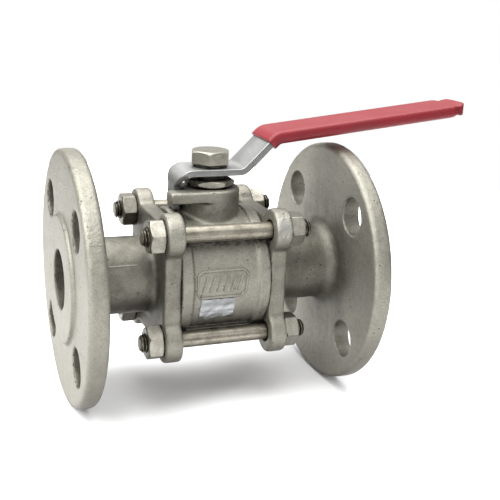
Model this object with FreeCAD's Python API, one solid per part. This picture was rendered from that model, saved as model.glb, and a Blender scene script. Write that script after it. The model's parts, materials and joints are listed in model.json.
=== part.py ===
import FreeCAD, Part
import math
import os

# Flanged three-piece ball valve, one inch size, in millimetres.
# The origin is the centre of the ball. X runs along the pipe and Z up the stem. The lever points
# along +X while the valve is open, and turns a quarter clockwise, seen from above, to close it.

V = FreeCAD.Vector
X_AXIS = V(1, 0, 0)
Z_AXIS = V(0, 0, 1)
origin = V(0, 0, 0)

# Driving dimensions
bore_r = 12.5
face_to_face = 129.6

flange_r = 54.25
flange_rim_round = 2.2
flange_back_x = 55.0
flange_seam_deg = 45.68
raised_face_r = 27.2
raised_face_high = 1.6
bolt_circle_r = 39.7
bolt_hole_r = 8.0
bolt_count = 4

neck_r = 16.5
neck_flange_fillet = 5.0
neck_plate_fillet = 2.2

plate_inner_x = 19.5
plate_outer_x = 27.0
plate_edge_round = 1.2
ear_r = 9.2
waist_half = 27.0
waist_fillet = 2.6
stud_half_square = 22.8

barrel_r = 27.1
rim_r = 28.2
rim_width = 5.0
rim_round = 0.6
cavity_r = 21.0
seal_pocket_r = 24.0
seal_pocket_deep = 1.5

boss_r = 13.0
boss_top = 37.6
boss_edge_round = 1.3
boss_foot_round = 1.5
lug_bottom = 32.8
lug_reach = 20.8
lug_near = 5.1

ball_r = 19.5
ball_gap = 0.2
slot_width = 8.0
slot_floor = 14.6
seat_r = 20.7
seat_front_x = 13.2

stem_r = 6.0
running_gap = 0.05
collar_r = 8.6
collar_pocket_r = 8.9
collar_bottom = 20.7
collar_top = 23.4
thrust_top = 24.4
tang_thick = 7.4
tang_long = 14.0
tang_bottom = 15.0
stem_flat_half = 4.5
stem_flat_bottom = 41.2
stem_top = 45.8

packing_r = 8.5
packing_bottom = 27.4
packing_high = 2.0
packing_count = 3
gland_high = 2.4
gland_flange_r = 8.4
disc_r = 8.2
disc_thick = 0.8
disc_count = 2
disc_gap = 0.1
disc_wall = 0.6
disc_seat = 1.0
gland_nut_af = 19.0
gland_nut_bottom = 38.0
gland_nut_high = 3.0
gland_nut_turn = 42
hex_face_share = 0.48
hex_chamfer_deg = 30

lever_thick = 2.8
lever_top = 46.2
lever_half = 9.3
lever_bend_x = 12.0
lever_rise_deg = 45.0
lever_grip_x = 26.4
lever_grip_deg = 7.0
lever_end_x = 118.6
lever_bend_inner = 4.0
tab_outer_x = 17.3
tab_bend_outer = 7.5
tab_bottom = 28.6
tab_half = 4.7
tab_shoulder_z = 44.0
tab_neck_z = 38.6
grip_wall = 1.4
grip_lead = 4.6
grip_over_end = 2.6
grip_edge_round = 1.9
grip_end_round = 7.0

spring_washer_r = 7.3
spring_washer_hole_r = 4.2
spring_washer_top = 47.5
spring_washer_split = 0.8
spring_washer_turn = 70
lever_bolt_af = 15.5
lever_bolt_turn = 19.4
lever_bolt_top = 53.2
lever_bolt_r = 4.0
lever_bolt_deep = 12.0

stud_shank_r = 3.58
stud_thread_r = 3.9
stud_hole_r = 4.2
stud_thread_long = 16.4
stud_long = 73.4
stud_end_chamfer = 0.5
nut_af = 13.0
nut_high = 6.5

label_high = 0.15
label_left = -11.2
label_right = 4.2
label_top_deg = 9.5
label_bottom_deg = 32.0

# Each stud: which side in Y and Z it is on, how far it sits off centre along X, and how far its left
# and right nuts are turned.
studs = {
    "front_top": (-1, 1, 0.75, 43, 25),
    "front_bottom": (-1, -1, 0.7, 0, 30),
    "back_top": (1, 1, 0.6, 30, 50),
    "back_bottom": (1, -1, 0.8, 33, 17),
}

face_x = face_to_face / 2
flange_face_x = face_x - raised_face_high


def export(shape, node):
    shape.exportStep(f"parts/{node}.step")


def disc(radius, low, high):
    return Part.makeCylinder(radius, high - low, V(0, 0, low), Z_AXIS)


def ring(outer, inner, low, high):
    return disc(outer, low, high).cut(disc(inner, low, high))


def pipe_disc(radius, x_low, x_high):
    return Part.makeCylinder(radius, x_high - x_low, V(x_low, 0, 0), X_AXIS)


def box(x, y, z):
    """A block between two limits on each axis."""
    return Part.makeBox(x[1] - x[0], y[1] - y[0], z[1] - z[0], V(x[0], y[0], z[0]))


def edge(start, end):
    return Part.LineSegment(start, end).toShape()


def arc(start, through, end):
    return Part.Arc(start, through, end).toShape()


def quarter(start, centre, end):
    """A quarter arc about the centre, from start to end."""
    radius = start.distanceToPoint(centre)
    middle = (start - centre) + (end - centre)
    middle.normalize()
    return arc(start, centre + middle * radius, end)


def mirror_x(shape):
    return shape.mirror(origin, X_AXIS)


def hex_prism(across_flats, axis_point, direction, length, turn):
    """A hexagonal prism that starts at the point and runs along X or Z."""
    radius = across_flats / math.sqrt(3)
    corners = []
    for i in range(7):
        angle = math.radians(60 * i + turn)
        side = math.sin(angle) * radius
        rise = math.cos(angle) * radius
        offset = V(0, side, rise) if direction == X_AXIS else V(side, rise, 0)
        corners.append(axis_point + offset)
    return Part.Face(Part.makePolygon(corners)).extrude(direction * length)


def chamfered_hex(across_flats, axis_point, direction, length, turn, both_ends=True):
    """A hexagon whose corners are turned down at one or both ends, as a nut's or a bolt head's are."""
    prism = hex_prism(across_flats, axis_point, direction, length, turn)
    corner_r = across_flats / math.sqrt(3)
    face_r = across_flats * hex_face_share
    rise = (corner_r - face_r) * math.tan(math.radians(hex_chamfer_deg))
    top = axis_point + direction * (length - rise)
    body_start = rise if both_ends else 0
    middle = axis_point + direction * body_start
    turned = Part.makeCylinder(corner_r, length - rise - body_start, middle, direction)
    turned = turned.fuse(Part.makeCone(corner_r, face_r, rise, top, direction))
    if both_ends:
        turned = turned.fuse(Part.makeCone(face_r, corner_r, rise, axis_point, direction))
    return prism.common(turned).removeSplitter()


def plate_outline(x):
    """Four round ears joined by flat waists with small fillets, drawn at one place along the pipe."""
    rise = waist_half - stud_half_square + waist_fillet
    run = math.sqrt((ear_r + waist_fillet)**2 - rise**2)
    ear = V(x, stud_half_square, stud_half_square)
    tip = ear + V(0, 1, 1) * (ear_r / math.sqrt(2))

    # One side's fillet, from the ear to the flat: its centre, both ends and middle
    centre = ear + V(0, -run, rise)
    from_ear = ear + (centre - ear) * (ear_r / (ear_r + waist_fillet))
    on_flat = centre - V(0, 0, waist_fillet)
    inward = (from_ear - centre) + (on_flat - centre)
    inward.normalize()
    middle = centre + inward * waist_fillet

    def swapped(point):
        """The same point on the ear's other side."""
        return V(point.x, point.z, point.y)

    edges = []
    for i in range(4):
        turn = FreeCAD.Rotation(X_AXIS, 90 * i).multVec
        next_turn = FreeCAD.Rotation(X_AXIS, 90 * (i + 1)).multVec
        edges.append(arc(turn(swapped(on_flat)), turn(swapped(middle)), turn(swapped(from_ear))))
        edges.append(arc(turn(swapped(from_ear)), turn(tip), turn(from_ear)))
        edges.append(arc(turn(from_ear), turn(middle), turn(on_flat)))
        edges.append(edge(turn(on_flat), next_turn(swapped(on_flat))))
    return Part.Wire(edges)


def stud_points():
    return [(side * stud_half_square, rise * stud_half_square) for side, rise, *_ in studs.values()]


def make_end_cap():
    """The cap on the +X side: a four-eared plate, a neck and a pipe flange in one casting."""
    thick = plate_outer_x - plate_inner_x
    plate = Part.Face(plate_outline(plate_inner_x)).extrude(V(thick, 0, 0))
    rims = [e for e in plate.Edges if e.BoundBox.XLength < 0.01]
    plate = plate.makeFillet(plate_edge_round, rims)

    hub_start = plate_inner_x + 2
    hub_r = neck_r + neck_plate_fillet
    hub_end = plate_outer_x + neck_plate_fillet
    fillet_start = flange_back_x - neck_flange_fillet
    heel_r = neck_r + neck_flange_fillet
    rim_in = flange_back_x + flange_rim_round
    rim_out = flange_face_x - flange_rim_round
    shoulder_r = flange_r - flange_rim_round

    def at(x, r):
        return V(x, 0, r)

    outline = Part.Wire([
        edge(at(hub_start, 0), at(hub_start, hub_r)),
        edge(at(hub_start, hub_r), at(plate_outer_x, hub_r)),
        quarter(at(plate_outer_x, hub_r), at(hub_end, hub_r), at(hub_end, neck_r)),
        edge(at(hub_end, neck_r), at(fillet_start, neck_r)),
        quarter(at(fillet_start, neck_r), at(fillet_start, heel_r), at(flange_back_x, heel_r)),
        edge(at(flange_back_x, heel_r), at(flange_back_x, shoulder_r)),
        quarter(at(flange_back_x, shoulder_r), at(rim_in, shoulder_r), at(rim_in, flange_r)),
        edge(at(rim_in, flange_r), at(rim_out, flange_r)),
        quarter(at(rim_out, flange_r), at(rim_out, shoulder_r), at(flange_face_x, shoulder_r)),
        edge(at(flange_face_x, shoulder_r), at(flange_face_x, raised_face_r)),
        edge(at(flange_face_x, raised_face_r), at(face_x, raised_face_r)),
        edge(at(face_x, raised_face_r), at(face_x, 0)),
        edge(at(face_x, 0), at(hub_start, 0)),
    ])
    spool = Part.Face(outline).revolve(origin, X_AXIS, 360)
    # The seam is turned away from the foot, where the valve stands on its rims
    spool.rotate(origin, X_AXIS, flange_seam_deg)
    cap = plate.fuse(spool)
    cap = cap.cut(pipe_disc(bore_r, plate_inner_x - 1, face_x + 1))
    for i in range(bolt_count):
        angle = math.radians(45 + 360 / bolt_count * i)
        centre = V(flange_back_x - 1, bolt_circle_r * math.cos(angle), bolt_circle_r * math.sin(angle))
        cap = cap.cut(Part.makeCylinder(bolt_hole_r, face_x - flange_back_x + 2, centre, X_AXIS))
    for y, z in stud_points():
        cap = cap.cut(Part.makeCylinder(stud_hole_r, thick + 2, V(plate_inner_x - 1, y, z), X_AXIS))
    return cap.removeSplitter()


def make_body():
    """The middle casting: a rimmed barrel, and the stem boss with its two stop lugs."""
    barrel = pipe_disc(barrel_r, -plate_inner_x, plate_inner_x)
    rim = pipe_disc(rim_r, plate_inner_x - rim_width, plate_inner_x)
    rim = rim.makeFillet(rim_round, [e for e in rim.Edges if e.BoundBox.XLength < 0.01])
    boss = disc(boss_r, 0, boss_top)
    open_lug = box((-lug_reach, 0), (-boss_r, -lug_near), (lug_bottom, boss_top))
    shut_lug = box((lug_near, boss_r), (0, lug_reach), (lug_bottom, boss_top))
    head = boss.fuse(open_lug).fuse(shut_lug).removeSplitter()
    head = head.makeFillet(boss_edge_round, [
        e for e in head.Edges
        if e.BoundBox.ZMin > boss_top - 0.01
        or max(abs(e.CenterOfMass.x), abs(e.CenterOfMass.y)) > lug_reach - 0.01
    ])
    casting = barrel.fuse(head)
    feet = [
        e for e in casting.Edges
        if e.BoundBox.ZMin > barrel_r * 0.8 and e.BoundBox.ZMax < barrel_r + 1 and e.BoundBox.XLength > boss_r
    ]
    casting = casting.makeFillet(boss_foot_round, feet)
    casting = casting.fuse(rim).fuse(mirror_x(rim))

    casting = casting.cut(pipe_disc(cavity_r, -face_x, face_x))
    pocket = pipe_disc(seal_pocket_r, plate_inner_x - seal_pocket_deep, face_x)
    casting = casting.cut(pocket).cut(mirror_x(pocket))
    casting = casting.cut(disc(collar_pocket_r, 0, thrust_top))
    casting = casting.cut(disc(stem_r + running_gap, 0, boss_top + 1))
    casting = casting.cut(disc(packing_r, packing_bottom, boss_top + 1))
    return casting.removeSplitter()


def make_ball():
    ball = Part.makeSphere(ball_r)
    ball = ball.cut(pipe_disc(bore_r, -ball_r, ball_r))
    half_slot = slot_width / 2
    return ball.cut(box((-half_slot, half_slot), (-ball_r, ball_r), (slot_floor, ball_r + 1)))


def make_seat():
    """The +X seat ring, hollowed to the ball."""
    seat = pipe_disc(seat_r, seat_front_x, plate_inner_x)
    seat = seat.cut(pipe_disc(bore_r, 0, face_x))
    return seat.cut(Part.makeSphere(ball_r + ball_gap))


def make_body_seal():
    seal = pipe_disc(seal_pocket_r, plate_inner_x - seal_pocket_deep, plate_inner_x)
    return seal.cut(pipe_disc(cavity_r, 0, face_x))


def make_stem():
    """The stem with its driving tang, collar, threaded waist and flatted top."""
    half_tang = tang_thick / 2
    half_long = tang_long / 2
    tang = box((-half_tang, half_tang), (-half_long, half_long), (tang_bottom, collar_bottom + 0.1))
    stem = tang.fuse(disc(collar_r, collar_bottom, collar_top)).fuse(disc(stem_r, collar_top, stem_top))
    for side in (-1, 1):
        near = side * stem_flat_half
        far = side * (stem_r + 1)
        y_limits = (min(near, far), max(near, far))
        stem = stem.cut(box((-stem_r, stem_r), y_limits, (stem_flat_bottom, stem_top + 1)))
    return stem.cut(disc(lever_bolt_r, stem_top - lever_bolt_deep, stem_top + 1)).removeSplitter()


def make_gland():
    """The flanged follower that presses on the packing."""
    low = packing_bottom + packing_high * packing_count
    return ring(gland_flange_r, stem_r + running_gap, low, low + gland_high)


def make_disc_spring(low):
    """A dished washer round the stem."""
    wall = Part.makeCone(disc_r, stem_r + disc_seat, disc_thick, V(0, 0, low), Z_AXIS)
    hollow_top_r = stem_r + disc_seat - disc_wall
    hollow = Part.makeCone(disc_r - disc_wall, hollow_top_r, disc_thick / 2, V(0, 0, low), Z_AXIS)
    return wall.cut(hollow).cut(disc(stem_r, low - 1, low + disc_thick + 1))


def make_gland_nut():
    start = V(0, 0, gland_nut_bottom)
    nut = chamfered_hex(gland_nut_af, start, Z_AXIS, gland_nut_high, gland_nut_turn)
    return nut.cut(disc(stem_r, gland_nut_bottom - 1, gland_nut_bottom + gland_nut_high + 1))


def lever_profile(low, high, lead, x_end):
    """The side view of the bent strap between two offsets from its upper face, as a face in XZ.

    The strap starts on its sloped stretch, a lead before the second bend, or at the stop tab when
    there is no lead.
    """
    rise = math.radians(lever_rise_deg)
    grip = math.radians(lever_grip_deg)

    def along(angle):
        return V(math.cos(angle), 0, math.sin(angle))

    def normal(angle):
        return V(-math.sin(angle), 0, math.cos(angle))

    bend_1 = V(lever_bend_x, 0, lever_top)
    rise_run = (lever_grip_x - lever_bend_x) / math.cos(rise)
    bend_2 = bend_1 + along(rise) * rise_run
    end = bend_2 + along(grip) * ((x_end - bend_2.x) / math.cos(grip))

    def corner(point, angle_in, angle_out, offset):
        """The strap's corner at an offset from its upper face."""
        half = (angle_out - angle_in) / 2
        middle = (angle_in + angle_out) / 2
        return point + normal(middle) * (offset / math.cos(half))

    def rounded(point, angle_in, angle_out, offset):
        """The bend at that corner as start, middle and end points of its arc."""
        half = abs(angle_out - angle_in) / 2
        inner_side = 1 if angle_out > angle_in else -1
        radius = lever_bend_inner + (-offset if inner_side > 0 else lever_thick + offset)
        vertex = corner(point, angle_in, angle_out, offset)
        run = radius * math.tan(half)
        middle = normal((angle_in + angle_out) / 2) * inner_side
        centre = vertex + middle * (radius / math.cos(half))
        return vertex - along(angle_in) * run, centre - middle * radius, vertex + along(angle_out) * run

    def side(offset):
        """Points and arcs of one face of the strap, from its start to its grip end."""
        first = rounded(bend_1, 0, rise, offset)
        second = rounded(bend_2, rise, grip, offset)
        tip = end + normal(grip) * offset
        if lead is None:
            bend_r = tab_bend_outer + offset
            centre = V(-tab_outer_x + tab_bend_outer, 0, lever_top - tab_bend_outer)
            level = centre + V(0, 0, bend_r)
            upright = centre - V(bend_r, 0, 0)
            foot = V(upright.x, 0, tab_bottom)
            edges = [edge(foot, upright), quarter(upright, centre, level), edge(level, first[0])]
            edges += [arc(*first), edge(first[2], second[0])]
        else:
            foot = bend_2 - along(rise) * lead + normal(rise) * offset
            edges = [edge(foot, second[0])]
        edges += [arc(*second), edge(second[2], tip)]
        return foot, tip, edges

    top_foot, top_tip, top_edges = side(high)
    low_foot, low_tip, low_edges = side(low)
    ends = [edge(top_tip, low_tip), edge(low_foot, top_foot)]
    return Part.Face(Part.Wire(Part.__sortEdges__(top_edges + ends + low_edges)))


def strap(low, high, half, lead, x_end):
    """The bent strap between two offsets from its upper face and of one half width."""
    face = lever_profile(low, high, lead, x_end)
    face.translate(V(0, -half, 0))
    return face.extrude(V(0, 2 * half, 0))


def end_corners(half, x_end, radius):
    """What is cut off to round the far end in plan."""
    cutters = []
    for side in (-1, 1):
        y_limits = sorted((side * (half - radius), side * (half + 1)))
        square = box((x_end - radius, x_end + 1), y_limits, (lever_top, 2 * lever_top))
        centre = V(x_end - radius, side * (half - radius), lever_top)
        cutters.append(square.cut(Part.makeCylinder(radius, lever_top, centre, Z_AXIS)))
    return cutters


def make_lever():
    """The bent strap lever, with a stop tab turned down at its short end."""
    lever = strap(-lever_thick, 0, lever_half, None, lever_end_x)
    for side in (-1, 1):
        outside = side * (lever_half + 1)
        flank = Part.makePolygon([
            V(-tab_outer_x - 1, outside, tab_shoulder_z),
            V(-tab_outer_x - 1, side * lever_half, tab_shoulder_z),
            V(-tab_outer_x - 1, side * tab_half, tab_neck_z),
            V(-tab_outer_x - 1, side * tab_half, tab_bottom - 1),
            V(-tab_outer_x - 1, outside, tab_bottom - 1),
            V(-tab_outer_x - 1, outside, tab_shoulder_z),
        ])
        lever = lever.cut(Part.Face(flank).extrude(V(6, 0, 0)))
    for cutter in end_corners(lever_half, lever_end_x, grip_end_round - grip_wall):
        lever = lever.cut(cutter)
    hole = disc(stem_r + running_gap, lever_top - lever_thick - 1, lever_top + 1)
    flat = stem_flat_half + running_gap
    hole = hole.common(box((-stem_r - 1, stem_r + 1), (-flat, flat), (0, lever_top + 1)))
    return lever.cut(hole)


def make_grip():
    """The soft sleeve dipped over the lever's far end."""
    half = lever_half + grip_wall
    x_end = lever_end_x + grip_over_end
    sleeve = strap(-lever_thick - grip_wall, grip_wall, half, grip_lead, x_end)
    long_edges = [e for e in sleeve.Edges if e.BoundBox.YLength < 0.01 and e.BoundBox.XLength > lever_grip_x]
    sleeve = sleeve.makeFillet(grip_edge_round, long_edges)
    for cutter in end_corners(half, x_end, grip_end_round):
        sleeve = sleeve.cut(cutter)
    return sleeve.cut(make_lever())


def make_spring_washer():
    """A split lock washer under the bolt head."""
    washer = ring(spring_washer_r, spring_washer_hole_r, lever_top, spring_washer_top)
    half_split = spring_washer_split / 2
    split = box((-half_split, half_split), (-spring_washer_r - 1, 0), (lever_top - 1, spring_washer_top + 1))
    split.rotate(origin, Z_AXIS, spring_washer_turn)
    return washer.cut(split)


def make_lever_bolt():
    high = lever_bolt_top - spring_washer_top
    start = V(0, 0, spring_washer_top)
    head = chamfered_hex(lever_bolt_af, start, Z_AXIS, high, lever_bolt_turn, both_ends=False)
    return head.fuse(disc(lever_bolt_r, stem_top - lever_bolt_deep + 1, spring_washer_top)).removeSplitter()


def make_stud(y, z, shift):
    """A tie stud: a thin shank between two threaded ends."""
    start = shift - stud_long / 2
    end = shift + stud_long / 2

    def length(radius, x_low, x_high):
        """A length of round bar on the stud's axis."""
        return Part.makeCylinder(radius, x_high - x_low, V(x_low, y, z), X_AXIS)

    stud = length(stud_shank_r, start + 1, end - 1)
    for x_low, x_high in ((start, start + stud_thread_long), (end - stud_thread_long, end)):
        thread = length(stud_thread_r, x_low, x_high)
        rims = [e for e in thread.Edges if e.BoundBox.XLength < 0.01]
        stud = stud.fuse(thread.makeChamfer(stud_end_chamfer, rims))
    return stud.removeSplitter()


def make_nut(y, z, side, turn):
    start = V(plate_outer_x, y, z)
    nut = chamfered_hex(nut_af, start, X_AXIS, nut_high, turn)
    nut = nut.cut(Part.makeCylinder(stud_thread_r, nut_high + 2, start - V(1, 0, 0), X_AXIS))
    return nut if side > 0 else mirror_x(nut)


def make_label():
    """A blank foil rating plate stuck on the front of the barrel."""
    foil = pipe_disc(barrel_r + label_high, label_left, label_right).cut(pipe_disc(barrel_r, -face_x, face_x))
    wedge = []
    for degrees in (label_top_deg, label_bottom_deg):
        angle = math.radians(degrees)
        wedge.append(V(label_left, -math.cos(angle) * 2 * barrel_r, -math.sin(angle) * 2 * barrel_r))
    corner = V(label_left, 0, 0)
    wire = Part.makePolygon([corner, wedge[0], wedge[1], corner])
    return foil.common(Part.Face(wire).extrude(V(label_right - label_left, 0, 0)))


def main():
    os.makedirs("parts", exist_ok=True)
    export(make_body(), "body_center")
    export(make_ball(), "ball")
    for node, shape in (("end_cap", make_end_cap()), ("seat", make_seat()), ("body_seal", make_body_seal())):
        export(mirror_x(shape), f"{node}_left")
        export(shape, f"{node}_right")
    export(make_stem(), "stem")
    export(ring(collar_r, stem_r + running_gap, collar_top, thrust_top), "thrust_washer")
    for i in range(packing_count):
        low = packing_bottom + packing_high * i
        export(ring(packing_r, stem_r + running_gap, low, low + packing_high), f"packing_ring_{i + 1}")
    export(make_gland(), "packing_gland")
    for i in range(disc_count):
        low = gland_nut_bottom - (disc_thick + disc_gap) * (i + 1)
        export(make_disc_spring(low), f"disc_spring_{i + 1}")
    export(make_gland_nut(), "gland_nut")
    export(make_lever(), "handle_lever")
    export(make_grip(), "handle_grip")
    export(make_spring_washer(), "spring_washer")
    export(make_lever_bolt(), "handle_bolt")
    for name, (side, rise, shift, left_turn, right_turn) in studs.items():
        y = side * stud_half_square
        z = rise * stud_half_square
        export(make_stud(y, z, shift), f"stud_{name}")
        export(make_nut(y, z, -1, left_turn), f"nut_{name}_left")
        export(make_nut(y, z, 1, right_turn), f"nut_{name}_right")
    export(make_label(), "foil_label")


main()
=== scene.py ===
import json
import math

import bmesh
import bpy
import numpy as np
from mathutils import Matrix, Vector
from mathutils.bvhtree import BVHTree


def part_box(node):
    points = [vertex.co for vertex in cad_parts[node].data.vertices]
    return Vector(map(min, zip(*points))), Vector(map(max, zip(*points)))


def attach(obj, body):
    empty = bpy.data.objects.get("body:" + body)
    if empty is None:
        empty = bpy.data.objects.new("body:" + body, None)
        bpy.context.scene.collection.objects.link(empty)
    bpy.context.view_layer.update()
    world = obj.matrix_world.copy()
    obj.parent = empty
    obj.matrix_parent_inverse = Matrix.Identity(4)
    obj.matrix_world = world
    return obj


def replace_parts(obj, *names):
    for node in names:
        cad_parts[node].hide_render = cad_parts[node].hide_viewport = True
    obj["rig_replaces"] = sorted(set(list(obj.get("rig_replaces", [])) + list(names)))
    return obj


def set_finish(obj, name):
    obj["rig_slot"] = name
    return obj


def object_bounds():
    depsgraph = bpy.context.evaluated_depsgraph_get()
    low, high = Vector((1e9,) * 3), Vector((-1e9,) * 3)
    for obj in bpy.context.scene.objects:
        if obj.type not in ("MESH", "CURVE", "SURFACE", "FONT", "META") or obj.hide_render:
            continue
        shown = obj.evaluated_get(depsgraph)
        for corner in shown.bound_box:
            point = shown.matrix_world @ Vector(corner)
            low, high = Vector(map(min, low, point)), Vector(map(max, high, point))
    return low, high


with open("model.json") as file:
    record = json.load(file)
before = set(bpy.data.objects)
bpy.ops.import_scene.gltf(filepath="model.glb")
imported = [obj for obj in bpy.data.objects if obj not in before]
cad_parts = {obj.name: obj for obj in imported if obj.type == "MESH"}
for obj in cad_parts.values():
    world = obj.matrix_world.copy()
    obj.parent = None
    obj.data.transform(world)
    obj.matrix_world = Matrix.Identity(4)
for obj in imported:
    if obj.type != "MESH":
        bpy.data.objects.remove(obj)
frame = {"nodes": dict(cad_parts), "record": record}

cadLow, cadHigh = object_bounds()
mm = 0.001
record = frame["record"]
bodyOf = {node: body for body, nodes in record["behaviour"]["bodies"].items() for node in nodes}
slotOf = {part["node"]: part["material_slot"] for part in record["subparts"]}
pieces = {}              # every visible piece by its name


# ---- node trees written as sums

class Wire:
    # one socket; arithmetic on it adds Math nodes to its board
    def __init__(self, board, socket):
        self.board = board
        self.socket = socket

    def math(self, operation, *others):
        return self.board.node("ShaderNodeMath", {"operation": operation}, dict(enumerate((self, *others))))

    def flipped(self, operation, other):
        return self.board.node("ShaderNodeMath", {"operation": operation}, {0: other, 1: self})

    def __add__(self, other):
        return self.math("ADD", other)

    __radd__ = __add__

    def __mul__(self, other):
        return self.math("MULTIPLY", other)

    __rmul__ = __mul__

    def __sub__(self, other):
        return self.math("SUBTRACT", other)

    def __rsub__(self, other):
        return self.flipped("SUBTRACT", other)

    def __truediv__(self, other):
        return self.math("DIVIDE", other)

    def __rtruediv__(self, other):
        return self.flipped("DIVIDE", other)

    def __lt__(self, other):
        return self.math("LESS_THAN", other)

    def ease(self, low, high):               # 0 below low, 1 above high, smooth between
        board = self.board
        settings = {"interpolation_type": "SMOOTHSTEP"}
        return board.node("ShaderNodeMapRange", settings, {"Value": self, "From Min": low, "From Max": high})


class Board:
    # a node tree, for a material or for geometry
    def __init__(self, tree):
        self.tree = tree

    def node(self, kind, settings=None, values=None, out=0):
        made = self.tree.nodes.new(kind)
        for name, value in (settings or {}).items():
            setattr(made, name, value)
        for key, value in (values or {}).items():
            if isinstance(value, Wire):
                self.tree.links.new(value.socket, made.inputs[key])
            else:
                made.inputs[key].default_value = value
        return Wire(self, made.outputs[out]) if made.outputs else made

    def blend(self, share, first, second):    # colours
        settings = {"data_type": "RGBA"}
        return self.node("ShaderNodeMix", settings, {0: share, 6: first, 7: second}, out=2)

    def stretch(self, place, scale):
        settings = {"operation": "MULTIPLY"}
        return self.node("ShaderNodeVectorMath", settings, {0: place, 1: scale})

    def shift(self, place, offset):
        return self.node("ShaderNodeVectorMath", {"operation": "ADD"}, {0: place, 1: offset})

    def noise(self, place, size, detail=3.0, rough=0.55):
        values = {"Vector": place, "Scale": 1 / size, "Detail": detail, "Roughness": rough}
        return self.node("ShaderNodeTexNoise", None, values)

    def cells(self, place, size, feature="F1"):
        return self.node("ShaderNodeTexVoronoi", {"feature": feature}, {"Vector": place, "Scale": 1 / size})

    def axes(self, place):
        parts = self.node("ShaderNodeSeparateXYZ", None, {0: place}).socket.node
        return [Wire(self, socket) for socket in parts.outputs]


class Finish(Board):
    # one material: colour, gloss and relief from its nodes
    def __init__(self, name):
        self.material = bpy.data.materials.new(name)
        self.material.use_nodes = True
        super().__init__(self.material.node_tree)
        self.tree.nodes.clear()
        coordinates = self.tree.nodes.new("ShaderNodeTexCoord")
        self.place = Wire(self, coordinates.outputs["Object"])
        self.outward = Wire(self, coordinates.outputs["Normal"])

    def facing(self):
        return self.axes(self.outward)

    def attribute(self, name):
        return self.node("ShaderNodeAttribute", {"attribute_name": name}, None, out=2)

    def relief(self, height, deep, under=None):
        values = {"Height": height, "Distance": deep, "Strength": 1.0}
        if under is not None:
            values["Normal"] = under
        return self.node("ShaderNodeBump", None, values)

    def close(self, colour, rough, fixed, **linked):
        shader = self.tree.nodes.new("ShaderNodeBsdfPrincipled")
        for name, value in fixed.items():
            shader.inputs[name].default_value = value
        for name, value in {"Base Color": colour, "Roughness": rough, **linked}.items():
            name = name.replace("_", " ")
            if isinstance(value, Wire):
                self.tree.links.new(value.socket, shader.inputs[name])
            else:
                shader.inputs[name].default_value = value
        output = self.tree.nodes.new("ShaderNodeOutputMaterial")
        self.tree.links.new(shader.outputs[0], output.inputs["Surface"])
        return self.material


# ---- finishes

castLook = {
    "light": (0.30, 0.289, 0.248), "dark": (0.17, 0.163, 0.136), "stain": (0.035, 0.030, 0.022),
    "grain": 0.55 * mm, "mottle": 2.4 * mm, "cloud": 14 * mm, "pitSize": 2.6 * mm, "speckSize": 1.0 * mm,
    "tooth": 0.16 * mm, "rough": 0.50, "boltAt": 28.07 * mm, "holeRadius": 8.0 * mm, "boreRadius": 12.6 * mm,
}


filedEar = {                   # brighter tone on the right front ear
    "centre": (0.0232, -0.0312, 0.0262), "radius": 4.6 * mm, "tone": (0.44, 0.44, 0.43), "strength": 0.35,
}


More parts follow.
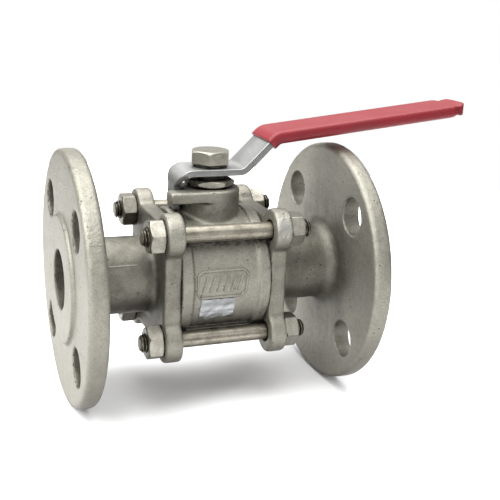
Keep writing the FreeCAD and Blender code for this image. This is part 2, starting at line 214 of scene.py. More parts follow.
def castSteel(name, look, paintedHoleShade=0.0, ground=None):
    # bead-blasted casting: fine speckle, soft clouds, small dark pits, dirt and painted shade held in the
    # corners, painted shade on the undersides
    f = Finish(name)
    cloud = f.noise(f.place, look["cloud"], 4.0, 0.6).ease(0.3, 0.7)
    mottle = f.noise(f.place, look["mottle"], 3.0, 0.6).ease(0.35, 0.65)
    grain = f.noise(f.place, look["grain"], 2.0, 0.65)
    fine = f.noise(f.place, look["grain"] / 2, 1.0, 0.5)
    pitted = f.noise(f.place, 6 * mm, 1.0, 0.5).ease(0.50, 0.60)
    pits = (1 - f.cells(f.place, look["pitSize"]).ease(0.06, 0.24)) * pitted
    specked = f.noise(f.place, 4 * mm, 2.0, 0.6).ease(0.46, 0.62)
    specks = (1 - f.cells(f.place, look["speckSize"]).ease(0.10, 0.30)) * specked
    # dirt and painted shade in the corners: darker where the point is closed in by other parts
    closed = f.attribute("grime")
    cornerDirtAndShade = (closed * (0.65 + mottle * 0.6)).ease(0.24, 0.80)
    # painted shade: surfaces facing down are darker
    under = (f.facing()[2] * -1).ease(-0.15, 0.75)

    tone = f.blend(cloud * 0.30 + mottle * 0.30, (*look["light"], 1), (*look["dark"], 1))
    tone = f.blend(grain.ease(0.36, 0.64) * 0.45, tone, (*look["dark"], 1))
    tone = f.blend(under * 0.55, tone, (*look["stain"], 1))
    tone = f.blend(cornerDirtAndShade * 0.92, tone, (*look["stain"], 1))
    tone = f.blend(pits * 0.75, tone, (*look["stain"], 1))
    tone = f.blend(specks * 0.45, tone, (*look["stain"], 1))
    rough = look["rough"] + grain * 0.12 - mottle * 0.05 + cornerDirtAndShade * 0.2
    if paintedHoleShade:
        # painted shade: darker hole walls and bore, neck and back of the flange
        x, y, z = f.axes(f.place)
        outX = x.math("ABSOLUTE")
        fromAxis = (y * y + z * z).math("SQRT")
        offY, offZ = y.math("ABSOLUTE") - look["boltAt"], z.math("ABSOLUTE") - look["boltAt"]
        fromHole = (offY * offY + offZ * offZ).math("SQRT")
        nearHole = 1 - fromHole.ease(look["holeRadius"], look["holeRadius"] + 0.3 * mm)
        nearBore = 1 - fromAxis.ease(look["boreRadius"], look["boreRadius"] + 0.3 * mm)
        inFlange = outX.ease(53 * mm, 54 * mm)
        nearNeck = (1 - fromAxis.ease(22 * mm, 40 * mm)) * (1 - outX.ease(54 * mm, 58 * mm))
        tone = f.blend((nearHole * inFlange).math("MAXIMUM", nearBore) * paintedHoleShade, tone, (*look["stain"], 1))
        tone = f.blend(nearNeck * (0.25 + cloud * 0.35), tone, (*look["stain"], 1))
    if ground:
        x, y, z = f.axes(f.shift(f.place, [-c for c in ground["centre"]]))
        away = ((x * x + y * y + z * z) / ground["radius"] ** 2).math("SQRT")
        filed = (1 - (away + (mottle - 0.5) * 0.5).ease(0.75, 0.9)) * ground["strength"]
        tone = f.blend(filed, tone, (*ground["tone"], 1))
        rough = rough - filed * 0.05
    skin = f.relief(fine * 0.4 + grain * 0.6, look["tooth"])
    skin = f.relief(mottle - pits * 2.0 - specks, 0.07 * mm, skin)
    return f.close(tone, rough, {"Metallic": 0.92, "Specular IOR Level": 0.5}, Normal=skin)


fastenerLook = {
    "light": (0.33, 0.316, 0.275), "dark": (0.18, 0.168, 0.138), "stain": (0.030, 0.023, 0.015),
    "scratch": 0.5 * mm, "rough": 0.34,
}


studLook = {
    "light": (0.31, 0.292, 0.242), "dark": (0.13, 0.118, 0.090), "stain": (0.022, 0.016, 0.010),
    "scratch": 0.9 * mm, "rough": 0.36,
}


# very dark tones: painted shade for the spring washer, stem and disc springs in the shaded gap under the lever
shadedWasherLook = {
    "light": (0.085, 0.080, 0.072), "dark": (0.040, 0.037, 0.032), "stain": (0.014, 0.011, 0.008),
    "scratch": 0.5 * mm, "rough": 0.42,
}


def fastenerSteel(name, look, run=(1.0, 1.0, 1.0), streak=0.3):
    # plain stainless fastener: cold-formed faces, faint tool marks, brown thread residue and painted shade in
    # the corners, painted shade on the undersides
    f = Finish(name)
    marks = f.noise(f.stretch(f.place, run), look["scratch"], 3.0, 0.6)
    smear = f.noise(f.place, 3.5 * mm, 3.0, 0.6).ease(0.35, 0.7)
    specks = f.noise(f.place, 0.7 * mm, 2.0, 0.6).ease(0.55, 0.68)
    # dirt and painted shade in the corners: darker where the point is closed in by other parts
    shade = f.attribute("grime")
    cornerDirtAndShade = (shade * (0.7 + smear * 0.6)).ease(0.26, 0.72)
    # painted shade: surfaces facing down are darker
    under = (f.facing()[2] * -1).ease(-0.15, 0.75)
    tone = f.blend(smear * 0.5 + marks.ease(0.3, 0.7) * streak, (*look["light"], 1), (*look["dark"], 1))
    tone = f.blend(specks * 0.3, tone, (*look["stain"], 1))
    tone = f.blend(under * 0.5, tone, (*look["stain"], 1))
    tone = f.blend(cornerDirtAndShade * 0.94, tone, (*look["stain"], 1))
    rough = look["rough"] + marks * 0.12 + smear * 0.08 + cornerDirtAndShade * 0.3
    skin = f.relief(marks + specks * 0.5, 0.03 * mm)
    return f.close(tone, rough, {"Metallic": 0.95}, Normal=skin)


strapLook = {"light": (0.36, 0.363, 0.352), "dark": (0.23, 0.233, 0.226), "rough": 0.40}


def strapSteel(name, look):
    # rolled strip: long fine grain, cross scuffs, painted shade on the upright sides, dirt and painted shade in
    # the corners
    f = Finish(name)
    grain = f.noise(f.stretch(f.place, (0.04, 1.0, 0.25)), 0.16 * mm, 3.0, 0.65)
    scuff = f.noise(f.stretch(f.place, (1.0, 0.12, 0.6)), 0.8 * mm, 3.0, 0.6).ease(0.55, 0.72)
    cloud = f.noise(f.place, 9 * mm, 3.0, 0.6).ease(0.3, 0.7)
    shade = f.attribute("grime")
    # painted shade: upright sides darker than the top
    sideShade = 1 - f.facing()[2].math("ABSOLUTE").ease(0.35, 0.75)
    tone = f.blend(cloud * 0.45 + grain * 0.35, (*look["light"], 1), (*look["dark"], 1))
    tone = f.blend(sideShade * 0.55, tone, (0.10, 0.10, 0.098, 1))
    # dirt and painted shade in the corners: darker where the point is closed in by other parts
    tone = f.blend(shade.ease(0.3, 1.0) * 0.6, tone, (0.14, 0.13, 0.115, 1))
    rough = look["rough"] + grain * 0.12 + scuff * 0.12 + cloud * 0.05
    skin = f.relief(grain * 0.7 + scuff * 0.4, 0.02 * mm)
    return f.close(tone, rough, {"Metallic": 0.95, "Anisotropic": 0.3}, Normal=skin)


polishedLook = {"light": (0.66, 0.66, 0.65), "dark": (0.55, 0.55, 0.54)}


def polishedSteel(name, look):
    # ground and polished: fine rings round the stem axis, faint handling haze
    f = Finish(name)
    rings = f.noise(f.stretch(f.place, (0.05, 0.05, 1.0)), 0.12 * mm, 2.0, 0.5)
    haze = f.noise(f.place, 5 * mm, 3.0, 0.6).ease(0.35, 0.7)
    tone = f.blend(haze, (*look["light"], 1), (*look["dark"], 1))
    skin = f.relief(rings, 0.01 * mm)
    return f.close(tone, 0.14 + haze * 0.1 + rings * 0.05, {"Metallic": 1.0}, Normal=skin)


def ptfe(name):
    # white fluoroplastic: faintly mottled, waxy
    f = Finish(name)
    cloud = f.noise(f.place, 4 * mm, 3.0, 0.6)
    turned = f.noise(f.stretch(f.place, (1.0, 0.05, 0.05)), 0.25 * mm, 2.0, 0.5)
    tone = f.blend(cloud, (0.80, 0.80, 0.77, 1), (0.70, 0.69, 0.65, 1))
    return f.close(tone, 0.38 + cloud * 0.15, {"Subsurface Weight": 0.08, "Subsurface Scale": 1 * mm},
                   Normal=f.relief(turned, 0.02 * mm))


vinylLook = {"main": (0.165, 0.0055, 0.011), "deep": (0.105, 0.0035, 0.006), "bloom": (0.20, 0.022, 0.027)}


def redVinyl(name, look):
    # dipped vinyl: satin skin with a faint chalky bloom and a painted highlight on top, dimples and tiny specks
    f = Finish(name)
    cloud = f.noise(f.place, 12 * mm, 3.0, 0.6).ease(0.3, 0.75)
    dimple = f.noise(f.place, 1.4 * mm, 2.0, 0.5)
    orange = f.noise(f.place, 0.35 * mm, 1.0, 0.5)
    speck = 1 - f.cells(f.place, 5 * mm).ease(0.03, 0.07)
    # chalky bloom and painted highlight: surfaces facing up are lighter
    bloom = f.facing()[2].ease(0.45, 0.98) * (0.35 + cloud * 0.35)
    tone = f.blend(cloud * 0.5, (*look["main"], 1), (*look["deep"], 1))
    tone = f.blend(bloom, tone, (*look["bloom"], 1))
    tone = f.blend(speck * 0.4, tone, (*look["deep"], 1))
    rough = 0.40 + cloud * 0.08 + dimple * 0.08
    skin = f.relief(dimple, 0.05 * mm)
    skin = f.relief(orange, 0.012 * mm, skin)
    return f.close(tone, rough, {"Specular IOR Level": 0.32, "Coat Roughness": 0.35},
                   Normal=skin, Coat_Weight=0.06 + cloud * 0.10)


def silverFoil(name):
    # bright self-adhesive foil with small creases
    f = Finish(name)
    crease = f.cells(f.shift(f.place, (0.013, 0.007, 0.002)), 2.2 * mm, "DISTANCE_TO_EDGE").ease(0.0, 0.12)
    wave = f.noise(f.place, 1.6 * mm, 2.0, 0.5)
    bands = f.noise(f.stretch(f.place, (0.06, 1.0, 1.0)), 2.6 * mm, 2.0, 0.5).ease(0.35, 0.65)
    tone = f.blend(wave * 0.4 + bands * 0.6, (0.34, 0.345, 0.35, 1), (0.12, 0.124, 0.128, 1))
    skin = f.relief(crease * 0.3 + wave, 0.07 * mm)
    return f.close(tone, 0.22 + wave * 0.15, {"Metallic": 0.9}, Normal=skin)


print("finishes")
finishes = {
    "cast_steel": castSteel("castSteel", castLook),
    # the number after the look is the strength of the painted shade in the holes, bore, neck and back of the
    # flange
    "leftCap": castSteel("castSteelCap", castLook, 0.72),
    "rightCap": castSteel("castSteelFiled", castLook, 0.25, filedEar),
    "fastener_steel": fastenerSteel("fastenerSteel", fastenerLook),
    "stud": fastenerSteel("studSteel", studLook, (0.02, 1.0, 1.0), 0.6),
    # dark washer finish: painted shade of the gap under the lever
    "washer": fastenerSteel("springSteel", shadedWasherLook),
    "strap_steel": strapSteel("strapSteel", strapLook),
    "polished_steel": polishedSteel("polishedSteel", polishedLook),
    "ptfe": ptfe("ptfe"),
    "red_vinyl": redVinyl("redVinyl", vinylLook),
    "foil": silverFoil("silverFoil"),
}


# ---- making pieces

def newPiece(name, mesh):
    piece = bpy.data.objects.new(name, mesh)
    bpy.context.scene.collection.objects.link(piece)
    return piece


def meshFrom(name, points, faces):
    mesh = bpy.data.meshes.new(name)
    mesh.from_pydata([tuple(p) for p in points], [], faces)
    mesh.validate()
    return mesh


def mergedCopy(node, name):
    # a copy of a CAD node with its loose triangles joined up
    mesh = frame["nodes"][node].data.copy()
    made = bmesh.new()
    made.from_mesh(mesh)
    bmesh.ops.remove_doubles(made, verts=made.verts, dist=0.002 * mm)
    bmesh.ops.dissolve_degenerate(made, edges=made.edges, dist=0.001 * mm)
    made.to_mesh(mesh)
    made.free()
    mesh.materials.clear()
    return newPiece(name, mesh)


def settle(piece):
    # applies the modifiers, so that the piece is a plain mesh
    shown = piece.evaluated_get(bpy.context.evaluated_depsgraph_get())
    mesh = bpy.data.meshes.new_from_object(shown)
    piece.modifiers.clear()
    piece.data = mesh
    return piece


def smoothAll(piece, crease=None):
    mesh = piece.data
    mesh.polygons.foreach_set("use_smooth", [True] * len(mesh.polygons))
    if crease:
        mesh.set_sharp_from_angle(angle=math.radians(crease))


def place(piece, node, finish=None):
    # gives a finished piece its material, its body and the CAD node it stands for
    piece.data.materials.clear()
    piece.data.materials.append(finish or finishes[slotOf[node]])
    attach(piece, bodyOf[node])
    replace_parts(piece, node)
    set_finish(piece, slotOf[node])
    pieces[piece.name] = piece


def points(mesh):
    flat = np.empty(len(mesh.vertices) * 3)
    mesh.vertices.foreach_get("co", flat)
    return flat.reshape(-1, 3)


def normals(mesh):
    flat = np.empty(len(mesh.vertices) * 3)
    mesh.vertex_normals.foreach_get("vector", flat)
    return flat.reshape(-1, 3)


def turnOutward(piece):
    made = bmesh.new()
    made.from_mesh(piece.data)
    bmesh.ops.recalc_face_normals(made, faces=made.faces)
    made.to_mesh(piece.data)
    made.free()


# ---- geometry node trees

class Recipe(Board):
    # a Geometry Nodes tree with named inputs
    kinds = {float: "NodeSocketFloat", int: "NodeSocketInt", Vector: "NodeSocketVector",
             bpy.types.Material: "NodeSocketMaterial"}

    def __init__(self, name, inputs, takesMesh=True):
        super().__init__(bpy.data.node_groups.new(name, "GeometryNodeTree"))
        face = self.tree.interface
        if takesMesh:
            face.new_socket("Geometry", in_out="INPUT", socket_type="NodeSocketGeometry")
        face.new_socket("Geometry", in_out="OUTPUT", socket_type="NodeSocketGeometry")
        self.keys = {}
        for label, kind in inputs.items():
            made = face.new_socket(label, in_out="INPUT", socket_type=self.kinds[kind])
            self.keys[label] = made.identifier
        self.source = self.tree.nodes.new("NodeGroupInput")

    def input(self, label):
        return Wire(self, self.source.outputs[label])

    def close(self, geometry):
        real = self.node("GeometryNodeRealizeInstances", None, {0: geometry})
        values = {"Geometry": real, "Material": self.input("material")}
        dressed = self.node("GeometryNodeSetMaterial", None, values)
        end = self.tree.nodes.new("NodeGroupOutput")
        self.tree.links.new(dressed.socket, end.inputs[0])

    def use(self, piece, values):
        modifier = piece.modifiers.new(self.tree.name, "NODES")
        modifier.node_group = self.tree
        for label, value in values.items():
            modifier[self.keys[label]] = value
        return modifier


def castSkinRecipe():
    # sand-cast unevenness: slow waves, small dents and scattered pits
    r = Recipe("castSkin", {"waveSize": float, "waveDepth": float, "dentSize": float, "dentDepth": float,
                            "pitSize": float, "pitDepth": float, "pitShare": float, "seed": float,
                            "material": bpy.types.Material})
    place = r.node("GeometryNodeInputPosition")
    normal = r.node("GeometryNodeInputNormal")
    seed = r.input("seed")

    def field(size, detail):
        values = {"Vector": place, "W": seed, "Scale": 1 / size, "Detail": detail, "Roughness": 0.5}
        return r.node("ShaderNodeTexNoise", {"noise_dimensions": "4D"}, values)

    wave = (field(r.input("waveSize"), 2.0) - 0.5) * r.input("waveDepth")
    dents = field(r.input("dentSize"), 1.0).ease(0.60, 0.80) * r.input("dentDepth")
    settings = {"voronoi_dimensions": "4D", "feature": "F1"}
    values = {"Vector": place, "W": seed, "Scale": 1 / r.input("pitSize")}
    cell = r.node("ShaderNodeTexVoronoi", settings, values)
    near = 1 - cell.ease(0.08, 0.30)
    colour = Wire(r, cell.socket.node.outputs["Color"])
    chosen = r.axes(colour)[0] < r.input("pitShare")
    pits = near * chosen * r.input("pitDepth")
    offset = r.node("ShaderNodeVectorMath", {"operation": "SCALE"}, {0: normal, 3: wave - dents - pits})
    source = r.input("Geometry")
    r.close(r.node("GeometryNodeSetPosition", None, {"Geometry": source, "Offset": offset}))
    return r


def threadedRodRecipe():
    # a rod along X, threaded at both ends, with rounded tips
    r = Recipe("threadedRod", {"centre": Vector, "length": float, "shank": float, "crest": float,
                               "depth": float, "pitch": float, "threaded": float, "tip": float,
                               "rows": int, "around": int, "start": float,
                               "material": bpy.types.Material}, takesMesh=False)
    rows, around = r.input("rows"), r.input("around")
    values = {"Size X": 1.0, "Size Y": 1.0, "Vertices X": rows, "Vertices Y": around}
    grid = r.node("GeometryNodeMeshGrid", None, values)
    along, across = r.axes(r.node("GeometryNodeInputPosition"))[:2]
    row = (along + 0.5) * (rows - 1)
    capRows = 3.0
    share = ((row - capRows) / (rows - 1 - 2 * capRows)).math("MAXIMUM", 0.0).math("MINIMUM", 1.0)
    length = r.input("length")
    x = (share - 0.5) * length
    closing = (row / capRows).math("MINIMUM", 1.0) * ((rows - 1 - row) / capRows).math("MINIMUM", 1.0)
    turn = (across + 0.5) * (2 * math.pi)
    fromEnd = length * 0.5 - x.math("ABSOLUTE")
    phase = (x / r.input("pitch") - across + r.input("start")).math("FRACT")
    ramp = (phase * 2 - 1).math("ABSOLUTE").ease(0.06, 0.88)
    thread = r.input("crest") - ramp * r.input("depth")
    threaded = r.input("threaded")
    mask = 1 - ((fromEnd - threaded) * 1000).ease(-1.2, 0.3)
    radius = r.input("shank") + (thread - r.input("shank")) * mask
    radius = radius.math("MINIMUM", r.input("tip") + fromEnd * 1.1) * closing
    y, z = radius * turn.math("COSINE"), radius * turn.math("SINE")
    spot = r.node("ShaderNodeCombineXYZ", None, {0: x, 1: y, 2: z})
    spot = r.shift(r.input("centre"), spot)
    moved = r.node("GeometryNodeSetPosition", None, {"Geometry": grid, "Position": spot})
    r.close(r.node("GeometryNodeMergeByDistance", None, {"Geometry": moved, "Distance": 0.004 * mm}))
    return r


print("geometry node trees")
castSkin = castSkinRecipe()
threadedRod = threadedRodRecipe()


def remesh(piece, voxel, smoothing=0):
    # one closed skin over everything in the mesh, edges rounded to about the voxel's size
    made = piece.modifiers.new("skin", "REMESH")
    made.mode = "VOXEL"
    made.voxel_size = voxel
    made.use_smooth_shade = True
    if smoothing:
        softer = piece.modifiers.new("soften", "SMOOTH")
        softer.factor = 0.5
        softer.iterations = smoothing
    return settle(piece)


def joinMesh(piece, points, faces):
    # adds loose geometry to a piece before it is remeshed
    made = bmesh.new()
    made.from_mesh(piece.data)
    verts = [made.verts.new(p) for p in points]
    for face in faces:
        made.faces.new([verts[i] for i in face])
    made.to_mesh(piece.data)
    made.free()


def bead(line, radius, sides=8):
    # a closed round bead along a line of points
    line = [Vector(p) for p in line]
    spots, faces = [], []
    for i, p in enumerate(line):
        ahead = (line[min(i + 1, len(line) - 1)] - line[max(i - 1, 0)]).normalized()
        side = ahead.cross(Vector((p.y, -p.z, p.x)) if abs(ahead.x) > 0.9 else Vector((1, 0, 0))).normalized()
        up = side.cross(ahead)
        for k in range(sides):
            turn = 2 * math.pi * k / sides
            spots.append(p + side * math.cos(turn) * radius + up * math.sin(turn) * radius)
    for i in range(len(line) - 1):
        for k in range(sides):
            a, b = i * sides + k, i * sides + (k + 1) % sides
            faces.append((a, b, b + sides, a + sides))
    first, last = len(spots), len(spots) + 1
    spots += [line[0], line[-1]]
    for k in range(sides):
        nextK = (k + 1) % sides
        faces.append((first, nextK, k))
        end = (len(line) - 1) * sides
        faces.append((last, end + k, end + nextK))
    return spots, faces


# ---- castings

body = {
    "voxel": 0.46 * mm, "soften": 2, "barrelRadius": 27.1 * mm, "markVoxel": 0.16 * mm,
    "skin": {"waveSize": 9 * mm, "waveDepth": 0.22 * mm, "dentSize": 3.2 * mm, "dentDepth": 0.16 * mm,
             "pitSize": 2.2 * mm, "pitDepth": 0.22 * mm, "pitShare": 0.12, "seed": 3.0},
    "flash": [(-44, -14.6, 14.6, 0.45), (136, -14.6, 14.6, 0.45)],       # turn, from, to, radius
    "seams": [                 # on the left rim and on the left neck
        {"turn": 31, "radius": 54.1 * mm, "start": -61.5, "end": -56.6, "bead": 0.35 * mm},
        {"turn": 31, "radius": 16.4 * mm, "start": -47.0, "end": -35.0, "bead": 0.32 * mm},
    ],
    "mark": {"left": -12.6, "right": 9.4, "top": 16.0, "bottom": -8.0, "bead": 0.62, "ribs": 6, "lean": 2.2},
}


def onBarrel(x, degrees, lift=0.0):
    # a point on the barrel's front: x in mm, angle above the horizontal
    radius = body["barrelRadius"] + lift * mm
    turn = math.radians(degrees)
    return Vector((x * mm, -radius * math.cos(turn), radius * math.sin(turn)))


def arcLine(start, end, steps, sink):
    wide, high = end[0] - start[0], end[1] - start[1]
    return [onBarrel(start[0] + wide * t / steps, start[1] + high * t / steps, sink) for t in range(steps + 1)]


def raisedMark(look):
    # a plain cast frame with leaning ribs
    left, right, top, bottom = look["left"], look["right"], look["top"], look["bottom"]
    strokes = [[(left + 2, top), (right - 2, top)], [(left + 1, bottom), (right - 3, bottom)]]
    leftSide = [(left + 2, top), (left, top - 4), (left, bottom + 4), (left + 1, bottom)]
    rightSide = [(right - 2, top), (right, top - 4), (right - 1, bottom + 4), (right - 3, bottom)]
    for side in (leftSide, rightSide):
        strokes += [[a, b] for a, b in zip(side, side[1:])]
    for rib in range(look["ribs"]):
        x = left + 3.2 + rib * (right - left - 6.6) / (look["ribs"] - 1)
        strokes.append([(x - look["lean"] / 2, bottom + 5), (x + look["lean"] / 2, top - 5)])
    return strokes


print("castings")
marks = newPiece("castMarks", bpy.data.meshes.new("castMarks"))
for turn, start, end, radius in body["flash"]:
    joinMesh(marks, *bead(arcLine((start, turn), (end, turn), 24, -0.05), radius * mm))
for start, end in raisedMark(body["mark"]):
    joinMesh(marks, *bead(arcLine(start, end, 8, 0.0), body["mark"]["bead"] * mm))
for seam in body["seams"]:
    turn = math.radians(seam["turn"])
    line = [Vector((x * mm, -seam["radius"] * math.cos(turn), seam["radius"] * math.sin(turn)))
            for x in np.linspace(seam["start"], seam["end"], 12)]
    joinMesh(marks, *bead(line, seam["bead"]))
remesh(marks, body["markVoxel"], 1)
smoothAll(marks)
marks.data.materials.append(finishes["cast_steel"])
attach(marks, "valve_body")
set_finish(marks, "cast_steel")
pieces[marks.name] = marks

piece = mergedCopy("body_center", "bodyCasting")
remesh(piece, body["voxel"], body["soften"])
castSkin.use(piece, {**body["skin"], "material": finishes["cast_steel"]})
settle(piece)
smoothAll(piece)
place(piece, "body_center")

caps = {
    "voxel": 0.62 * mm, "soften": 5,
    "skin": {"waveSize": 11 * mm, "waveDepth": 0.20 * mm, "dentSize": 3.5 * mm, "dentDepth": 0.14 * mm,
             "pitSize": 2.6 * mm, "pitDepth": 0.25 * mm, "pitShare": 0.10, "seed": 7.0},
}
for side, seed in (("left", 7.0), ("right", 12.0)):
    piece = mergedCopy("end_cap_" + side, side + "CapCasting")
    remesh(piece, caps["voxel"], caps["soften"])
    finish = finishes[side + "Cap"]
    castSkin.use(piece, {**caps["skin"], "seed": seed, "material": finish})
    settle(piece)
    smoothAll(piece)
    place(piece, "end_cap_" + side, finish)


# ---- fasteners

stud = {
    "shank": 3.56 * mm, "crest": 3.9 * mm, "depth": 0.74 * mm, "pitch": 1.25 * mm, "threaded": 16.4 * mm,
    "tip": 3.0 * mm, "rows": 462, "around": 37,
}
print("studs")
for number, corner in enumerate(("front_top", "front_bottom", "back_top", "back_bottom")):
    node = "stud_" + corner
    low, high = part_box(node)
    piece = newPiece(node.replace("_", " ").title().replace(" ", ""), meshFrom(node, [(0, 0, 0)], []))
    values = {**stud, "centre": (low + high) / 2, "length": high.x - low.x, "start": 0.23 * number,
              "material": finishes["stud"]}
    threadedRod.use(piece, values)
    settle(piece)
    turnOutward(piece)
    smoothAll(piece, 50)
    place(piece, node, finishes["stud"])

forged = {"voxel": 0.21 * mm, "soften": 2}
print("nuts, bolt and washers")
nutNodes = [n for n in frame["nodes"] if n.startswith("nut_")]
for node in sorted(nutNodes) + ["gland_nut", "handle_bolt", "spring_washer"]:
    piece = mergedCopy(node, node.replace("_", " ").title().replace(" ", ""))
    remesh(piece, forged["voxel"], forged["soften"])
    smoothAll(piece)
    # the spring washer takes the dark washer finish: painted shade of the gap under the lever
    place(piece, node, finishes["washer"] if node == "spring_washer" else None)


# ---- handle

lever = {"voxel": 0.34 * mm, "soften": 2}
print("handle")
piece = mergedCopy("handle_lever", "handleStrap")
remesh(piece, lever["voxel"], lever["soften"])
smoothAll(piece)
place(piece, "handle_lever")

grip = {"voxel": 0.5 * mm, "soften": 6, "pinchAt": 116.6 * mm, "pinchWide": 1.9 * mm, "pinch": 0.2}
piece = mergedCopy("handle_grip", "handleGrip")
remesh(piece, grip["voxel"], grip["soften"])
spots = points(piece.data)
near = np.exp(-((spots[:, 0] - grip["pinchAt"]) / grip["pinchWide"]) ** 2)
middle = spots[near > 0.8].mean(axis=0)
spots[:, 2] += (middle[2] - spots[:, 2]) * near * grip["pinch"]
spots[:, 1] *= 1 - near * grip["pinch"] * 0.6
piece.data.vertices.foreach_set("co", spots.ravel())
piece.data.update()
smoothAll(piece)
place(piece, "handle_grip")


# ---- foil patch on the barrel

foil = {"left": -11.0, "right": 4.0, "top": -9.6, "bottom": -31.8, "columns": 44, "rows": 32,
        "lift": 0.26, "thick": 0.12, "crease": 0.09}
print("foil patch")
random = np.random.default_rng(5)
waves = random.uniform(0.4, 1.6, (5, 2)) * random.choice((-1, 1), (5, 2))
phases = random.uniform(0, 6.28, 5)


def foilLift(x, turn):
    folds = sum(math.sin(a * x + b * turn * 0.5 + c) for (a, b), c in zip(waves, phases))
    return foil["lift"] + foil["crease"] * folds / 2.5


cols, rows = foil["columns"], foil["rows"]
tops, bottoms = [], []
for j in range(rows + 1):
    for i in range(cols + 1):
        x = foil["left"] + (foil["right"] - foil["left"]) * i / cols + 0.12 * math.sin(j * 0.9)
        turn = foil["bottom"] + (foil["top"] - foil["bottom"]) * j / rows + 0.25 * math.sin(i * 0.45)
        lift = foilLift(x, turn)
        tops.append(onBarrel(x, turn, lift))
        bottoms.append(onBarrel(x, turn, lift - foil["thick"]))
count = len(tops)
step = cols + 1
faces = []
for j in range(rows):
    for i in range(cols):
        a = j * step + i
        faces.append((a, a + 1, a + 1 + step, a + step))
        faces.append((count + a, count + a + step, count + a + 1 + step, count + a + 1))
for i in range(cols):
    faces.append((i, count + i, count + i + 1, i + 1))
    a = rows * step + i
    faces.append((a, a + 1, count + a + 1, count + a))
for j in range(rows):
    a = j * step
    faces.append((a, a + step, count + a + step, count + a))
    a += cols
    faces.append((a, count + a, count + a + step, a + step))
piece = newPiece("foilPatch", meshFrom("foilPatch", tops + bottoms, faces))
turnOutward(piece)
smoothAll(piece, 50)
place(piece, "foil_label")


# ---- finishes on the CAD nodes that stay

print("inner parts")
replaced = {node for piece in pieces.values() for node in piece.get("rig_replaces", [])}
for node, holder in frame["nodes"].items():
    if node not in replaced:
        # the stem and disc springs take the dark washer finish: painted shade where they show in the gap under
        # the lever
        inShadedGap = node == "stem" or node.startswith("disc_spring")
        for spot in holder.material_slots:
            spot.material = finishes["washer" if inShadedGap else slotOf[node]]


# ---- grime and painted shade: how closed in each point is

grime = {"reach": 11 * mm, "start": 0.35 * mm, "rays": 24}


def soup():
    spots, faces = [], []
    for holder in frame["nodes"].values():
        base = sum(len(s) for s in spots)
        mesh = holder.data
        spots.append(points(mesh))
        mesh.calc_loop_triangles()
        corners = np.empty(len(mesh.loop_triangles) * 3, dtype=np.int32)
        mesh.loop_triangles.foreach_get("vertices", corners)
        faces.append(corners.reshape(-1, 3) + base)
    return BVHTree.FromPolygons(np.concatenate(spots).tolist(), np.concatenate(faces).tolist())


def rayFan(count):
    # directions spread evenly over the sphere
    steps = np.arange(count) + 0.5
    tilt = np.arccos(1 - 2 * steps / count)
    turn = math.pi * (1 + 5 ** 0.5) * steps
    return np.stack([np.cos(turn) * np.sin(tilt), np.sin(turn) * np.sin(tilt), np.cos(tilt)], 1)


def addGrimeAndShade(piece, tree, fan):
    mesh = piece.data
    spots, outward = points(mesh), normals(mesh)
    facing = outward @ fan.T
    rays = [Vector(d) for d in fan]
    reach = grime["reach"]
    shade = np.zeros(len(spots), dtype=np.float32)
    starts = spots + outward * grime["start"]
    for i, start in enumerate(starts):
        origin = Vector(start)
        weights = facing[i]
        blocked = total = 0.0
        for k in np.nonzero(weights > 0.15)[0]:
            w = weights[k]
            total += w
            distance = tree.ray_cast(origin, rays[k], reach)[3]
            if distance is not None:
                blocked += w * (1 - distance / reach)
        shade[i] = blocked / total
    layer = mesh.attributes.new("grime", "FLOAT", "POINT")
    layer.data.foreach_set("value", shade)


print("grime")
tree = soup()
fan = rayFan(grime["rays"])
for piece in pieces.values():
    if piece["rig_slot"] in ("cast_steel", "fastener_steel", "strap_steel"):
        addGrimeAndShade(piece, tree, fan)


# ---- floor, light and camera

floorLook = {"radius": 0.5, "sides": 96, "pale": (0.90, 0.90, 0.905), "faint": (0.87, 0.87, 0.875)}


def floorFinish(look):
    f = Finish("paleFloor")
    cloud = f.noise(f.place, 0.12, 2.0, 0.5)
    tone = f.blend(cloud, (*look["pale"], 1), (*look["faint"], 1))
    return f.close(tone, 0.6 + cloud * 0.1, {"Specular IOR Level": 0.2})


turns = [2 * math.pi * i / floorLook["sides"] for i in range(floorLook["sides"])]
rim = [(floorLook["radius"] * math.cos(turn), floorLook["radius"] * math.sin(turn), cadLow.z) for turn in turns]
floor = newPiece("floor", meshFrom("floor", rim, [tuple(range(floorLook["sides"]))]))
floor.data.materials.append(floorFinish(floorLook))

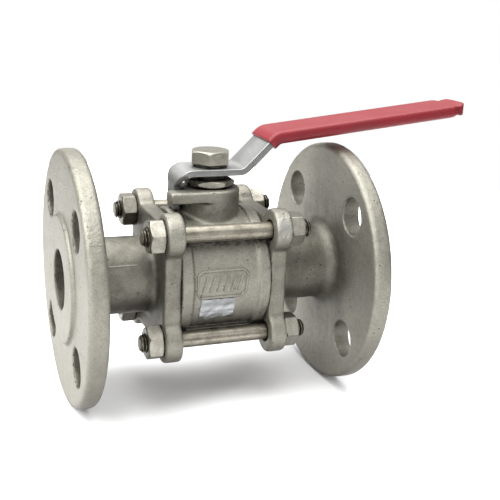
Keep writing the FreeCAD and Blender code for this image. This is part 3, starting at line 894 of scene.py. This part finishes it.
studio = {"base": 0.09, "above": 0.70, "left": 0.46, "behind": 0.30, "backdrop": 1.0}
world = bpy.data.worlds.new("studio")
bpy.context.scene.world = world
world.use_nodes = True
sky = Board(world.node_tree)
sky.tree.nodes.clear()
direction = sky.node("ShaderNodeTexCoord")
x, y, z = sky.axes(direction)
glow = z.ease(0.0, 0.8) * studio["above"] + (x * -1).ease(0.1, 0.9) * studio["left"]
glow = glow + y.ease(0.0, 0.9) * studio["behind"]
seen = sky.node("ShaderNodeLightPath")
strength = (glow + studio["base"]) * (1 - seen) + seen * studio["backdrop"]
lit = sky.node("ShaderNodeBackground", None, {"Color": (1.0, 1.0, 1.0, 1.0), "Strength": strength})
end = sky.tree.nodes.new("ShaderNodeOutputWorld")
sky.tree.links.new(lit.socket, end.inputs["Surface"])

lamps = {                      # place, size, watts
    "keyLeft": ((-0.95, -0.25, 0.75), 0.8, 16.0),
    "topSoft": ((-0.10, 0.10, 1.35), 1.8, 52.0),
    "frontRight": ((0.50, -1.25, 0.50), 0.8, 3.0),
}
aim = Vector((0.0, 0.0, 0.0))
for name, (spot, size, watts) in lamps.items():
    lamp = bpy.data.lights.new(name, "AREA")
    lamp.shape = "SQUARE"
    lamp.size = size
    lamp.energy = watts
    holder = bpy.data.objects.new(name, lamp)
    bpy.context.scene.collection.objects.link(holder)
    holder.location = spot
    holder.rotation_euler = (aim - holder.location).to_track_quat("-Z", "Y").to_euler()

view = {"azimuth": -22.314, "elevation": 16.748, "roll": 2.878, "lens": 64.30,
        "place": (-0.125179, -0.354854, 0.122553)}
azimuth, elevation, roll = (math.radians(view[key]) for key in ("azimuth", "elevation", "roll"))
level = math.cos(elevation)
back = Vector((math.sin(azimuth) * level, -math.cos(azimuth) * level, math.sin(elevation)))
right = Vector((math.cos(azimuth), math.sin(azimuth), 0.0))
up = back.cross(right)
tiltedRight = right * math.cos(roll) + up * math.sin(roll)
tiltedUp = up * math.cos(roll) - right * math.sin(roll)
lens = bpy.data.cameras.new("camera")
lens.lens = view["lens"]
lens.sensor_width = 36.0
camera = bpy.data.objects.new("camera", lens)
bpy.context.scene.collection.objects.link(camera)
turned = Matrix((tiltedRight, tiltedUp, back)).transposed().to_4x4()
camera.matrix_world = Matrix.Translation(Vector(view["place"])) @ turned
bpy.context.scene.camera = camera
bpy.context.scene.view_settings.view_transform = "Standard"

bpy.context.view_layer.update()
